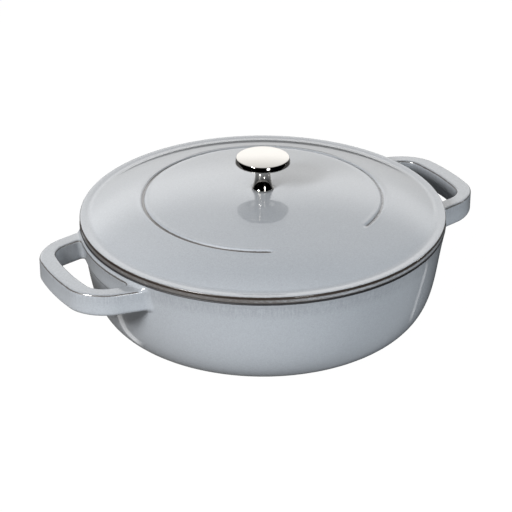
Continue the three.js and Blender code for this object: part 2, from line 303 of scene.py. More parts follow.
def stage_object(name, points, faces, material):
    made = new_object(name, new_mesh(name, points, faces))
    made.data.materials.append(material)
    return made


def white_floor():
    material = bpy.data.materials.new("white_floor")
    tree = cleared(material)
    paint = add(tree, "ShaderNodeBsdfDiffuse", {"Color": (floor_paint, floor_paint, floor_paint, 1)})
    glow = add(tree, "ShaderNodeEmission", {"Color": WHITE, "Strength": floor_white})
    seen = add(tree, "ShaderNodeLightPath").outputs["Is Camera Ray"]
    top = mixed_shader(tree, math_node(tree, "MULTIPLY", seen, floor_glow), paint, glow)
    below = add(tree, "ShaderNodeNewGeometry").outputs["Backfacing"]
    sided = mixed_shader(tree, below, top, add(tree, "ShaderNodeBsdfTransparent"))
    add(tree, "ShaderNodeOutputMaterial", {"Surface": sided.outputs[0]})
    half = floor_size / 2
    corners = [(x, y, -floor_gap) for x, y in ((-half, -half), (half, -half), (half, half), (-half, half))]
    stage_object("floor", corners, [(0, 1, 2, 3)], material)


studio_world()
white_floor()
print(f"white floor, {floor_size} m wide")

# %% [markdown]
# Polished things look polished because they mirror dark as well as light. A real studio is dark, with a white
# sheet that runs along the floor behind the pot and then up. A shell round the pot stands for it, white at the
# back and black elsewhere, and two strips on the floor give the bowl its narrow bright lines. A lamp could do
# this too, but it would also light the pot. Here only reflections show the shell and the strips.

# %% The mirrored studio
shell_radius = 4
shell_columns = 96
shell_rows = 60
sheet_rows = 8
sheet_start = (1, 2.4)
backdrop_white = 1.72
backdrop_rises = [0, 14, 21, 26, 34, 46, 62]
backdrop_levels = [0.5, 0.68, 1, 1, 0.55, 0.42, 0]
backdrop_side = (26, 70)
strip_height = 0.5 * MM


def attribute(tree, name):
    """A number that the mesh keeps under a name."""
    return add(tree, "ShaderNodeAttribute", attribute_name=name).outputs["Fac"]


def glow_material():
    """A glow as bright as the number at each point. It isn't used as a lamp."""
    material = bpy.data.materials.new("mirrored_studio")
    tree = cleared(material)
    shown = add(tree, "ShaderNodeEmission", {"Color": WHITE, "Strength": attribute(tree, "white")})
    add(tree, "ShaderNodeOutputMaterial", {"Surface": shown.outputs[0]})
    material.cycles.emission_sampling = "NONE"
    return material


def mirrored_card(name, points, faces, white):
    """A card that only reflections show, with a brightness at each of its points."""
    card = stage_object(name, points, faces, mirrored_glow)
    store(card.data, "white", white)
    for ray in ("camera", "diffuse", "transmission", "shadow"):
        setattr(card, f"visible_{ray}", False)


def backdrop_share(side, rise):
    """How white the shell is in a direction: 1 in the middle of the backdrop, 0 away from it."""
    from_back = abs((side - view_side) % 360 - 180)
    upright = np.interp(rise, backdrop_rises, backdrop_levels)
    return upright * (1 - smooth_step(*backdrop_side, from_back))


def mirrored_studio():
    """The sheet along the floor and the dome that it runs into, as rings of points."""
    sides = [360 * column / shell_columns for column in range(shell_columns)]
    sheet = np.linspace(*sheet_start, sheet_rows)
    rings = [(distance, 0, smooth_step(*sheet_start, distance)) for distance in sheet]
    rings += [(shell_radius, rise, 1) for rise in np.linspace(0, 90, shell_rows, endpoint=False)]
    lift = Vector((0, 0, strip_height))
    points = [tuple(distance * towards(side, rise) + lift) for distance, rise, _ in rings for side in sides]
    white = [share * backdrop_share(side, rise) for _, rise, share in rings for side in sides]
    faces = []
    for low in range(0, len(points) - shell_columns, shell_columns):
        high = low + shell_columns
        for column in range(shell_columns):
            after = (column + 1) % shell_columns
            faces.append((low + column, low + after, high + after, high + column))
    faces.append(tuple(range(len(points) - shell_columns, len(points))))
    mirrored_card("mirrored_studio", points, faces, backdrop_white * np.array(white))


def light_strip(name, centre_line, width, brightness):
    """A strip of light on the floor. Its ends fade out."""
    line = np.array(centre_line) * MM
    count = len(line)
    points = [(x, y, strip_height) for side in (width / 2, -width / 2) for x, y in moved_right(line, side)]
    faces = [(i, i + 1, count + i + 1, count + i) for i in range(count - 1)]
    fade = np.concatenate([[0], np.ones(count - 2), [0]]) * brightness
    mirrored_card(name, points, faces, np.tile(fade, 2))


mirrored_glow = glow_material()
mirrored_studio()
left_line = [(-166, 31), (-157, 23), (-147, 12), (-138, 0), (-132, -12), (-127, -24)]
right_line = [(182, -86), (170, -92), (151, -103), (128, -110), (105, -111), (85, -108)]
light_strip("left_strip", left_line, 10 * MM, 1.1)
light_strip("right_strip", right_line, 6 * MM, 0.65)
print("a shell and two strips for reflections")

# %% [markdown]
# The light itself comes from the left, from one strong lamp. Small lamps at the front and at the right add glints
# to the edges, and two soft fills open the shadows. Glossy enamel would show the fills as bright windows, so
# reflections leave them out.

# %% Lamps
lamp_distance = 1.7


def soft_lamp(name, side, rise, wide, tall, brightness, mirrored=True, colour=(1, 1, 1)):
    """A lamp that faces the pot. Its brightness is what a mirror would show, with 1 as white."""
    data = bpy.data.lights.new(name, "AREA")
    data.shape = "RECTANGLE"
    data.size = wide
    data.size_y = tall
    data.energy = brightness * math.pi * wide * tall
    data.color = colour
    lamp = new_object(name, data)
    lamp.location = lamp_distance * towards(side, rise)
    lamp.rotation_euler = towards(side, rise).to_track_quat("Z", "Y").to_euler()
    lamp.visible_glossy = mirrored
    print(f"{name}: {data.energy:.1f} W")


soft_lamp("left_lamp", -74, 34, 0.4, 0.4, 66)
soft_lamp("left_fill", -74, 58, 0.7, 0.7, 2, mirrored=False)
soft_lamp("front_lamp", -7, 12, 0.3, 0.25, 16)
soft_lamp("right_lamp", 76, 22, 0.2, 0.2, 9)
soft_lamp("front_fill", 13, 9, 0.5, 0.45, 25, mirrored=False, colour=(0.94, 1, 1.05))

# %% [markdown]
# ## Bowl profile
# The wall leans in from the rim and curves round into a flat base. Inside, it is 4 mm thick. The rim's top and
# the whole inside are matte black, so each point of the profile also carries how black it is. A second number
# says how thin the enamel is: it draws away from sharp edges as it melts, and the iron shows through as brown.

# %% The wall
wall_lean = math.radians(11.3)
wall_pull = 48.5 * MM
base_radius = 91 * MM
base_pull = 50.6 * MM
rim_round = 1 * MM
wall_thickness = 4 * MM
floor_thickness = 4.4 * MM
contact_ring = 13 * MM
base_recess = 0.8 * MM

wall_top = np.array([rim_radius, rim_height - rim_round])
wall = bezier([
    (base_radius, 0),
    (base_radius + base_pull, 0),
    wall_top - wall_pull * np.array([math.sin(wall_lean), math.cos(wall_lean)]),
    wall_top,
], 400)


def wall_radius(height):
    """Outer radius of the wall at a height."""
    return np.interp(height, wall[:, 1], wall[:, 0])


def wall_slope(height):
    """How fast that radius grows with height."""
    step = 0.5 * MM
    return (wall_radius(height + step) - wall_radius(height - step)) / (2 * step)


print(f"wall radius at half height: {wall_radius(rim_height / 2) / MM:.1f} mm")

# %% The whole bowl profile
patch_low = 51 * MM
patch_high = 79.6 * MM
patch_rows = 8
lower_rows = 34
inner_rows = 44
recess_radius = base_radius - contact_ring

lower_wall = evenly(wall[wall[:, 1] < patch_low], lower_rows)
lower_black = np.concatenate([[1, 0.5], np.zeros(lower_rows - 2)])
patch_heights = np.linspace(patch_low, patch_high, patch_rows)
rim_outer = arc((rim_radius - rim_round, rim_height - rim_round), rim_round, 0, 90, 6)
inner_wall = moved_right(wall, -np.linspace(floor_thickness, wall_thickness, len(wall)))[::-1]
inner_wall = evenly(inner_wall[inner_wall[:, 1] < rim_height - 1.2 * rim_round], inner_rows)
inner_lip = (inner_wall[0, 0] + rim_round, rim_height - rim_round)

bowl_profile, bowl_black, bowl_thin = joined([
    ([(0, base_recess), (recess_radius / 2, base_recess), (recess_radius - 2 * base_recess, base_recess)], 1, 0),
    ([(recess_radius - base_recess, base_recess), (recess_radius, 0), (recess_radius + base_recess, 0)], 1, 0),
    ([(base_radius - contact_ring / 4, 0)], 1, 0),
    (lower_wall, lower_black, 0),
    (np.column_stack([wall_radius(patch_heights), patch_heights]), 0.15 * (patch_heights == patch_high), 0),
    ([wall_top], 0.9, 0.5),
    (rim_outer[1:], 1, 1),
    (arc(inner_lip, rim_round, 90, 180, 4), 1, 0),
    (inner_wall, 1, 0),
    ([(recess_radius, floor_thickness), (recess_radius / 2, floor_thickness), (0, floor_thickness)], 1, 0),
])
print(len(bowl_profile), "points in the bowl's profile")

# %% [markdown]
# ## Handles
# Each handle is a loop: two arms that splay a little and a curved grip, with rounded edges and a narrow soft bevel
# where it grows out of the bowl. Bevels on a joined mesh break at such places. A distance field does not: a
# formula gives, for any point, how far it lies outside the form. Joining two forms takes the smaller of two
# distances, and rounding is a small change to that rule, so the corners come out smooth.

# %% Handle sizes
arm_splay = math.radians(11.75)
arm_width = 12.2 * MM
grip_half_length = 46.9 * MM
grip_width = 13.6 * MM
grip_corner = 21 * MM
window_corner = 9 * MM
handle_top = rim_height - 4.4 * MM
handle_bottom = handle_top - 18 * MM
handle_middle = (handle_top + handle_bottom) / 2
top_edge = 2 * MM
foot_edge = 3 * MM
ledge_top = 1.4 * MM
ledge_bottom = 1 * MM
ledge_corner = 5 * MM
root_bevel = 2 * MM
top_bevel = 2.4 * MM
bevel_change = 4 * MM
bevel_growth = 1.8
root_softness = 0.5 * MM

across_arm = np.array([math.sin(arm_splay), math.cos(arm_splay)])
grip_end = np.array([math.sqrt(grip_radius ** 2 - grip_half_length ** 2), grip_half_length])
arm_outer = across_arm @ grip_end
arm_inner = arm_outer - arm_width
print(f"handles reach {(grip_radius - rim_radius) / MM:.1f} mm beyond the rim")

# %% Handle as a distance field
def rounded_and(first, second, rounding):
    """Inside both forms, with the edge between them rounded."""
    first = first + rounding
    second = second + rounding
    outside = np.hypot(np.maximum(first, 0), np.maximum(second, 0))
    return np.minimum(np.maximum(first, second), 0) + outside - rounding


def filleted_or(first, second, fillet):
    """Inside either form, with the corner between them filled by a fillet."""
    inside = np.hypot(np.maximum(fillet - first, 0), np.maximum(fillet - second, 0))
    return np.maximum(np.minimum(first, second), fillet) - inside


def loop_sides(points):
    """Distances outside the loop's outline seen from above, and outside its height."""
    x, y, z = points.T
    radius = np.hypot(x, y)
    across = across_arm[0] * x + across_arm[1] * np.abs(y)
    outer = rounded_and(across - arm_outer, radius - grip_radius, grip_corner)
    window = rounded_and(across - arm_inner, radius - (grip_radius - grip_width), window_corner)
    share = np.clip((z - handle_bottom) / (handle_top - handle_bottom), 0, 1)
    ledge = wall_radius(z) + ledge_bottom + share * (ledge_top - ledge_bottom)
    window = rounded_and(window, ledge - radius, ledge_corner)
    return np.maximum(outer, -window), np.maximum(z - handle_top, handle_bottom - z)


def edge_rounding(height):
    """Rounding of the loop's edges: fine at the top and fuller below, where fingers curl round."""
    return np.where(height > handle_middle, top_edge, foot_edge)


def bevel_size(height):
    """Size of the flat strip that fills the corner between a handle and the wall."""
    return top_bevel + (root_bevel - top_bevel) * smooth_step(0, bevel_change, handle_top - height)


def wall_distance(points):
    """Distance outside the bowl's wall."""
    radius, height = np.hypot(points[:, 0], points[:, 1]), points[:, 2]
    return (radius - wall_radius(height)) / np.hypot(1, wall_slope(height))


def handle_field(points):
    """Distance outside the wall with a handle on it. The bevel's sum of distances grows fast, so it is divided."""
    z = points[:, 2]
    plan, level = loop_sides(points)
    loop = rounded_and(plan, level, edge_rounding(z))
    bowl = wall_distance(points)
    bevel = (loop + bowl - bevel_size(z)) / bevel_growth
    return filleted_or(filleted_or(loop, bevel, root_softness), bowl, root_softness)


def field_slope(points, step=0.02 * MM):
    """Direction in which the handle's distance grows, which is the surface's normal."""
    slope = np.empty_like(points)
    for axis in range(3):
        shift = np.zeros(3)
        shift[axis] = step
        slope[:, axis] = handle_field(points + shift) - handle_field(points - shift)
    return slope / np.maximum(np.linalg.norm(slope, axis=1, keepdims=True), 1e-12)


# %% [markdown]
# A mesh of that surface comes from a grid of small cells: every cell that the surface passes through gets one
# point, and points of neighbouring cells are joined by faces. The points are then moved onto the surface and
# spread evenly along it.

# %% A mesh from a distance field
def net_surface(field, low, high, cell):
    """Points and four-sided faces near the surface of a distance field."""
    counts = np.ceil((high - low) / cell).astype(int)
    axes = [low[axis] + cell * np.arange(counts[axis] + 1) for axis in range(3)]
    corners = np.stack(np.meshgrid(*axes, indexing="ij"), axis=-1)
    inside = (field(corners.reshape(-1, 3)) < 0).reshape(corners.shape[:3])
    filled = np.zeros(counts, int)
    for i, j, k in itertools.product((0, 1), repeat=3):
        filled += inside[i:i + counts[0], j:j + counts[1], k:k + counts[2]]
    crossed = (filled > 0) & (filled < 8)
    number = np.full(counts, -1)
    number[crossed] = np.arange(crossed.sum())
    faces = []
    for axis in range(3):
        order = (axis, (axis + 1) % 3, (axis + 2) % 3)
        cells = number.transpose(order)
        start = inside.transpose(order)[:-1, 1:-1, 1:-1]
        end = inside.transpose(order)[1:, 1:-1, 1:-1]
        i, j, k = np.nonzero(start != end)
        around = [cells[i, j, k], cells[i, j + 1, k], cells[i, j + 1, k + 1], cells[i, j, k + 1]]
        faces.append(np.where(start[i, j, k], around, around[::-1]).T)
    return low + cell * (np.argwhere(crossed) + 0.5), np.concatenate(faces)


def spread_evenly(points, faces, rounds):
    """Moves each point onto the surface and towards the middle of its neighbours."""
    for _ in range(rounds):
        total = np.zeros_like(points)
        count = np.zeros((len(points), 1))
        for corner in range(4):
            for side in (1, 3):
                np.add.at(total, faces[:, corner], points[faces[:, (corner + side) % 4]])
                np.add.at(count, faces[:, corner], 1)
        points = (points + total / np.maximum(count, 1)) / 2
        for _ in range(2):
            points = points - handle_field(points)[:, None] * field_slope(points)
    return points


# %% The handle's patch of surface
patch_angle = math.radians(28.5)
patch_margin = 1.2 * MM
net_cell = 0.85 * MM
net_rounds = 6
net_start = 0.84 * rim_radius
net_side = 0.53 * rim_radius

net_points, net_faces = net_surface(
    handle_field,
    np.array([net_start, -net_side, patch_low - 3 * MM]),
    np.array([grip_radius + 2 * MM, net_side, rim_height]),
    net_cell,
)
net_points = spread_evenly(net_points, net_faces, net_rounds)


def crop_patch(points, faces):
    """Keeps the faces that lie in the handle's patch, and numbers their points again."""
    inside = np.abs(np.arctan2(points[:, 1], points[:, 0])) < patch_angle
    inside &= points[:, 2] > patch_low + patch_margin
    inside &= points[:, 2] < patch_high - patch_margin / 2
    faces = faces[inside[faces].all(axis=1)]
    used = np.unique(faces)
    number = np.full(len(points), -1)
    number[used] = np.arange(len(used))
    return points[used], number[faces]


patch_points, patch_faces = crop_patch(net_points, net_faces)
print(len(patch_faces), "faces on a handle")

# %% The patch's border
def border_loop(faces):
    """The points round the border of a patch, in order."""
    sides = {(face[i], face[(i + 1) % 4]) for face in faces.tolist() for i in range(4)}
    after = {start: end for start, end in sides if (end, start) not in sides}
    loop = [next(iter(after))]
    while after[loop[-1]] != loop[0]:
        loop.append(after[loop[-1]])
    assert len(loop) == len(after), "the patch has one border"
    return loop


patch_border = border_loop(patch_faces)
print(len(patch_border), "points round its border")

# %% [markdown]
# ## Pot body
# The bowl is a grid of rings and columns. Where a handle goes, a window of faces is left out of the grid, and a
# strip of triangles joins the window's edge to the border of the handle's patch. Both lie on the same wall, so
# nothing shows. The second handle is the first one turned half round.

# %% The bowl's grid, with two windows left open
columns = 240
window_columns = 20
rings = len(bowl_profile) - 2
ring_low = int(np.argmin(np.abs(bowl_profile[:, 1] - patch_low) + (bowl_profile[:, 0] < base_radius)))
ring_high = ring_low + patch_rows - 1


def bowl_number(ring, column):
    """Number of a point of the grid. The two poles come first, and the profile's ends aren't rings."""
    return 2 + (ring - 1) * columns + column % columns


def in_window(ring, column):
    """True for a face that gives way to a handle."""
    from_middle = (column + columns // 4) % (columns // 2) - columns // 4
    return ring_low <= ring < ring_high and -window_columns <= from_middle < window_columns


angles = 2 * math.pi * np.arange(columns) / columns
ring_radius, ring_height = bowl_profile[1:-1].T
bowl_points = np.concatenate([
    [(0, 0, bowl_profile[0, 1]), (0, 0, bowl_profile[-1, 1])],
    np.stack([
        np.outer(ring_radius, np.cos(angles)),
        np.outer(ring_radius, np.sin(angles)),
        np.outer(ring_height, np.ones(columns)),
    ], axis=-1).reshape(-1, 3),
])

bowl_faces = []
for column in range(columns):
    bowl_faces.append((0, bowl_number(1, column + 1), bowl_number(1, column)))
    bowl_faces.append((1, bowl_number(rings, column), bowl_number(rings, column + 1)))
    for ring in range(1, rings):
        if not in_window(ring, column):
            bowl_faces.append((
                bowl_number(ring, column),
                bowl_number(ring, column + 1),
                bowl_number(ring + 1, column + 1),
                bowl_number(ring + 1, column),
            ))
print(len(bowl_faces), "faces in the bowl's grid")

# %% Join the handles to the bowl
def window_border():
    """Numbers of the grid's points round the first handle's window, in order."""
    across = range(-window_columns, window_columns)
    up = range(ring_low, ring_high)
    return (
        [bowl_number(ring_low, column) for column in across]
        + [bowl_number(ring, window_columns) for ring in up]
        + [bowl_number(ring_high, -column) for column in across]
        + [bowl_number(ring + 1, -window_columns) for ring in reversed(up)]
    )


def flat_on_wall(points):
    """Places on the wall unrolled: the way round it and the height."""
    return np.column_stack([rim_radius * np.arctan2(points[:, 1], points[:, 0]), points[:, 2]])


def inside_loop(places, loop):
    """True for places inside a closed loop, by counting the sides to their right."""
    ends = np.roll(loop, -1, axis=0)
    x, y = places[:, :1], places[:, 1:]
    spans = (loop[:, 1] > y) != (ends[:, 1] > y)
    rise = np.where(ends[:, 1] == loop[:, 1], 1, ends[:, 1] - loop[:, 1])
    crossing = loop[:, 0] + (y - loop[:, 1]) / rise * (ends[:, 0] - loop[:, 0])
    return (spans & (x < crossing)).sum(axis=1) % 2 == 1


def joining_strip():
    """Triangles between the window and the patch. Numbers from the window's length on are the patch's border."""
    outer = flat_on_wall(bowl_points[window_border()])
    inner = flat_on_wall(patch_points[patch_border])
    places = np.concatenate([outer, inner])
    sides = [(i, (i + 1) % len(outer)) for i in range(len(outer))]
    sides += [(len(outer) + i, len(outer) + (i + 1) % len(inner)) for i in range(len(inner))]
    flat = [Vector(place) for place in places]
    _, _, triangles, sources, _, _ = delaunay_2d_cdt(flat, sides, [], 1, 1e-9)
    triangles = np.array([[sources[corner][0] for corner in triangle] for triangle in triangles])
    triangles = triangles[~inside_loop(places[triangles].mean(axis=1), inner)]
    corners = places[triangles]
    first, second = corners[:, 1] - corners[:, 0], corners[:, 2] - corners[:, 0]
    backwards = first[:, 0] * second[:, 1] < first[:, 1] * second[:, 0]
    triangles[backwards] = triangles[backwards][:, ::-1]
    return triangles


strip = joining_strip()
print(len(strip), "triangles join each handle to the bowl")

# %% Put the pot body together
pot_points = [bowl_points]
pot_faces = list(bowl_faces)
border = np.array(window_border())
border_normals = field_slope(bowl_points[border])
bowl_normals = np.zeros_like(bowl_points)
patch_normals = field_slope(patch_points)
pot_normals = [bowl_normals]
made = len(bowl_points)
for shift, facing in ((0, (1, 1, 1)), (columns // 2, (-1, -1, 1))):
    window = 2 + (border - 2) // columns * columns + (border - 2 + shift) % columns
    bowl_normals[window] = border_normals * facing
    numbers = np.concatenate([window, made + np.array(patch_border)])
    pot_points.append(patch_points * facing)
    pot_normals.append(patch_normals * facing)
    pot_faces += numbers[strip].tolist()
    pot_faces += (patch_faces + made).tolist()
    made += len(patch_points)
pot_points = np.concatenate(pot_points)
pot_normals = np.concatenate(pot_normals)
print(len(pot_points), "points and", len(pot_faces), "faces in the pot body")

# %% [markdown]
# Enamel is thinnest along the handles' upper edges. The rounding of an edge turns the surface from level to
# upright, and the thin line runs where it has turned about half way. It ends where an arm runs into the wall.

# %% Thin enamel on the handles
thin_most = 0.68
thin_turn = 50
thin_spread = 15
edge_start = (0.2, 0.5)
arm_free = (2.5 * MM, 6 * MM)


def thin_on_loop(points):
    """Most along the middle of the loop's rounded upper edges, and nothing where an arm runs into the wall."""
    plan, level = loop_sides(points)
    rounding = edge_rounding(points[:, 2])
    side = np.maximum(plan + rounding, 0)
    height = np.maximum(level + rounding, 0)
    turned = np.degrees(np.arctan2(side, np.maximum(height, 1e-9)))
    upper = points[:, 2] > handle_middle
    on_edge = smooth_step(*edge_start, np.hypot(side, height) / rounding)
    edge = thin_most * upper * on_edge * np.exp(-((turned - thin_turn) / thin_spread) ** 2)
    beside_window = np.abs(points[:, :2]) @ across_arm < (arm_inner + arm_outer) / 2
    return edge * np.where(beside_window, 1, smooth_step(*arm_free, wall_distance(points)))


pot_black = np.concatenate([
    [bowl_black[0], bowl_black[-1]],
    np.repeat(bowl_black[1:-1], columns),
    np.zeros(2 * len(patch_points)),
])
pot_thin = np.concatenate([
    [0, 0],
    np.repeat(bowl_thin[1:-1], columns),
    np.tile(thin_on_loop(patch_points), 2),
])
print(int((pot_thin > thin_most / 2).sum()), "points of the pot body with thin enamel")

# %% [markdown]
# ## Finishes
# Three finishes are shared out over the pieces. They have effects in common, such as a fine grain, so each such
# effect is a node group that is built once. A group takes sizes and colours as inputs and gives back a colour or
# a height, and the material's own shader takes it from there.

# %% Steps that the effects share
def object_place(tree):
    """Where a point lies on its piece, as a vector."""
    return add(tree, "ShaderNodeTexCoord").outputs["Object"]


def split(tree, vector):
    """The three numbers of a vector."""
    return add(tree, "ShaderNodeSeparateXYZ", {0: vector}).outputs


def noise(tree, place, scale, detail):
    """A number that varies from place to place, round about 0.5."""
    return add(tree, "ShaderNodeTexNoise", {"Vector": place, "Scale": scale, "Detail": detail}).outputs["Fac"]


def smooth_share(tree, value, low, high, start=0.0, end=1.0):
    """A number that goes smoothly from start to end as a value goes from low to high."""
    return add(tree, "ShaderNodeMapRange", {
        "Value": value, "From Min": low, "From Max": high, "To Min": start, "To Max": end,
    }, interpolation_type="SMOOTHSTEP").outputs[0]


def mixed_value(tree, mask, first, second):
    """A number that goes from one value to another as a mask goes from 0 to 1."""
    return add(tree, "ShaderNodeMix", {0: mask, 2: first, 3: second}, data_type="FLOAT").outputs[0]


def mixed_colour(tree, mask, first, second):
    """A colour that goes from one to another in the same way."""
    return add(tree, "ShaderNodeMix", {0: mask, 6: first, 7: second}, data_type="RGBA").outputs[2]


def shaded(tree, colour, shade):
    """A colour made lighter or darker by a number."""
    return add(tree, "ShaderNodeVectorMath", {0: colour, 3: shade}, operation="SCALE").outputs[0]


# %% Shared effects
def grain_group():
    """Fine specks and broad cloudiness laid over a colour."""
    tree, given, result = open_group(
        "Grain over a colour",
        "ShaderNodeTree",
        [("Color", "Color", None), ("Speck size", "Float", None), ("Speck amount", "Float", None),
         ("Cloud size", "Float", None), ("Cloud amount", "Float", None)],
        [("Color", "Color"), ("Height", "Float")],
    )
    plus, minus, times, over = arithmetic(tree)
    place = object_place(tree)
    specks, clouds = (noise(tree, place, over(1.0, given[size]), 2.0) for size in ("Speck size", "Cloud size"))
    shade = plus(1.0, times(minus(specks, 0.5), given["Speck amount"]))
    shade = plus(shade, times(minus(clouds, 0.5), given["Cloud amount"]))
    tree.links.new(shaded(tree, given["Color"], shade), result["Color"])
    tree.links.new(specks, result["Height"])
    return tree


def thin_edge_group():
    """Enamel that grows thin: first a mottled brownish grey, then the iron's dark brown."""
    tree, given, result = open_group(
        "Thin enamel",
        "ShaderNodeTree",
        [("Color", "Color", None), ("Half bare", "Color", (0.1, 0.093, 0.088, 1)),
         ("Bare", "Color", (0.022, 0.015, 0.011, 1)), ("Mask", "Float", 0.0),
         ("Ragged", "Float", 0.5), ("Streak size", "Float", 0.5 * MM), ("Streak length", "Float", 3 * MM)],
        [("Color", "Color")],
    )
    plus, minus, times, over = arithmetic(tree)
    x, y, z = split(tree, object_place(tree))
    length = given["Streak length"]
    spot = vector_of(tree, over(x, length), over(y, length), over(z, given["Streak size"]))
    swing = times(minus(noise(tree, spot, 1.0, 3.0), 0.5), given["Ragged"])
    touched = math_node(tree, "MINIMUM", times(given["Mask"], 4.0), 1.0)
    reach = plus(given["Mask"], times(swing, touched))
    colour = given["Color"]
    for start, end, tone in ((0.12, 0.45, "Half bare"), (0.5, 0.85, "Bare")):
        colour = mixed_colour(tree, smooth_share(tree, reach, start, end), colour, given[tone])
    tree.links.new(colour, result["Color"])
    return tree


def streaks_group():
    """Faint upright streaks under an edge, as runny enamel leaves when it is fired. The band that they lie in is
    also a little darker near the edge, fading downwards.
    """
    tree, given, result = open_group(
        "Upright streaks",
        "ShaderNodeTree",
        [("Color", "Color", None), ("Top", "Float", 80 * MM), ("Reach", "Float", 14 * MM),
         ("Streak size", "Float", 1.3 * MM), ("Streak amount", "Float", 0.32), ("Shade", "Float", 0.09)],
        [("Color", "Color")],
    )
    plus, minus, times, over = arithmetic(tree)
    x, y, z = split(tree, object_place(tree))
    size, reach = given["Streak size"], given["Reach"]
    spot = vector_of(tree, over(x, size), over(y, size), over(z, reach))
    swing = times(minus(noise(tree, spot, 1.0, 1.0), 0.5), given["Streak amount"])
    below = minus(given["Top"], z)
    under = smooth_share(tree, below, 0.0, 3 * MM)
    fade = smooth_share(tree, over(below, reach), 0.5, 1.1, 1.0, 0.0)
    shade = plus(times(minus(swing, given["Shade"]), times(under, fade)), 1.0)
    tree.links.new(shaded(tree, given["Color"], shade), result["Color"])
    return tree


grain = grain_group()
streaks = streaks_group()
thin_enamel = thin_edge_group()
print("effects:", ", ".join(group.name for group in (grain, streaks, thin_enamel)))

# %% [markdown]
# The enamel is one material for the whole casting: pale grey glass outside, with a clear coat, and matte black
# inside. It could be two materials, but then the change from one to the other would follow the faces' edges.
# Here three numbers at each point say where the enamel is black, where it is thin, and where it has lost its
# gloss. The thin number also darkens the bottom of the lid's groove as painted shade.

# %% Enamelled iron
def srgb(red, green, blue):
    """A colour as a picture's 0 to 255 levels, turned to the linear levels that shaders use."""
    levels = np.array([red, green, blue]) / 255
    linear = np.where(levels <= 0.04045, levels / 12.92, ((levels + 0.055) / 1.055) ** 2.4)
    return (*linear.tolist(), 1)


def fill(tree, group, inputs):
    """A placed node group with its own values."""
    return add(tree, "ShaderNodeGroup", inputs, node_tree=group).outputs


def shade_with(tree, inputs):
    """The material's own shader, joined to its output."""
    shader = add(tree, "ShaderNodeBsdfPrincipled", inputs)
    add(tree, "ShaderNodeOutputMaterial", {"Surface": shader.outputs[0]})


def enamelled_iron():
    """Glossy pale grey enamel outside, matte black enamel inside, brown where it is thin."""
    material = bpy.data.materials.new("enamelled_iron")
    tree = cleared(material)
    black, thin, dull = (attribute(tree, name) for name in ("black", "thin", "dull"))
    grey = fill(tree, grain, {
        "Color": srgb(159, 163, 168), "Speck size": 1.1 * MM, "Speck amount": 0.35,
        "Cloud size": 35 * MM, "Cloud amount": 0.03,
    })
    lining = fill(tree, grain, {
        "Color": srgb(34, 34, 36), "Speck size": 0.5 * MM, "Speck amount": 0.5,
        "Cloud size": 20 * MM, "Cloud amount": 0.2,
    })
    streaked = fill(tree, streaks, {"Color": grey["Color"], "Top": rim_height - 1 * MM})
    edged = fill(tree, thin_enamel, {"Color": streaked["Color"], "Mask": thin})
    height = mixed_value(tree, black, grey["Height"], lining["Height"])
    bump = add(tree, "ShaderNodeBump", {"Strength": 0.15, "Distance": 0.1 * MM, "Height": height})
    shade_with(tree, {
        "Base Color": mixed_colour(tree, black, edged["Color"], lining["Color"]),
        "Roughness": mixed_value(tree, black, 0.32, 0.5),
        "IOR": 1.5,
        "Coat Weight": mixed_value(tree, black, mixed_value(tree, dull, 1.0, 0.1), 0.0),
        "Coat Roughness": 0.05,
        "Coat IOR": 1.65,
        "Normal": bump.outputs[0],
    })
    return material


iron = enamelled_iron()
print("finish:", iron.name)

# %% [markdown]
# Turned metal keeps fine rings from the tool and the polishing wheel. They could be drawn in a picture, but a
# noise that knows only the distance from the axis and the height gives rings by itself, at any closeness.

# %% Polished metal and plain steel
def turned_metal(name, colour, roughness, mark_size, mark_amount):
    """Metal with the fine rings that turning and polishing leave."""
    material = bpy.data.materials.new(name)
    tree = cleared(material)
    plus, _, times, _ = arithmetic(tree)
    toned = fill(tree, grain, {
        "Color": colour, "Speck size": 0.6 * MM, "Speck amount": 0.04, "Cloud size": 12 * MM, "Cloud amount": 0.06,
    })
    x, y, z = split(tree, object_place(tree))
    radius = math_node(tree, "SQRT", plus(times(x, x), times(y, y)))
    marks = noise(tree, vector_of(tree, radius, z), 1 / mark_size, 3.0)
    bump = add(tree, "ShaderNodeBump", {"Strength": mark_amount, "Distance": 0.05 * MM, "Height": marks})
    rough = add(tree, "ShaderNodeMapRange", {
        "Value": marks, "To Min": 0.7 * roughness, "To Max": 1.3 * roughness,
    }).outputs[0]
    shade_with(tree, {
        "Base Color": toned["Color"], "Metallic": 1, "Roughness": rough, "Normal": bump.outputs[0],
    })
    return material


polished = turned_metal("polished_metal", srgb(196, 193, 188), 0.06, 0.5 * MM, 0.03)
plain_steel = turned_metal("plain_steel", srgb(176, 178, 180), 0.34, 0.4 * MM, 0.2)
print("finishes:", polished.name, "and", plain_steel.name)

# %% [markdown]
# ## The pot body's mesh
# The casting's points and faces become one mesh, shaded smooth, with the enamel on it. The handles' normals come
# from the distance field rather than from the faces, so that the joining strips don't show in the gloss.

# %% Make the pot body
pot_mesh = new_mesh("pot_body_casting", pot_points.tolist(), pot_faces)
pot_mesh.shade_smooth()
store(pot_mesh, "black", pot_black)
store(pot_mesh, "thin", pot_thin)
pot_mesh.materials.append(iron)
pot_mesh.normals_split_custom_set_from_vertices(pot_normals.tolist())
pot_casting = new_object("pot_body_casting", pot_mesh)
print("pot body:", len(pot_mesh.polygons), "faces, valid:", not pot_mesh.validate())

# %% [markdown]
# ## Turning on a lathe
# The lid, the knob, the washer and the screw are turned shapes. A Geometry Nodes tree does what a lathe does: it
# takes the points of a profile, lays out a sheet of as many rows as there are points and as many columns as
# asked for, and wraps the sheet round the axis. Merging the points that meet closes the seam and the poles.

# %% The lathe tree
def finish_tree(tree, geometry, finish, result):
    """The last nodes of a tree, which make real geometry with its finish."""
    real = add(tree, "GeometryNodeRealizeInstances", {"Geometry": geometry}).outputs[0]
    finished = add(tree, "GeometryNodeSetMaterial", {"Geometry": real, "Material": finish}).outputs[0]
    tree.links.new(finished, result)


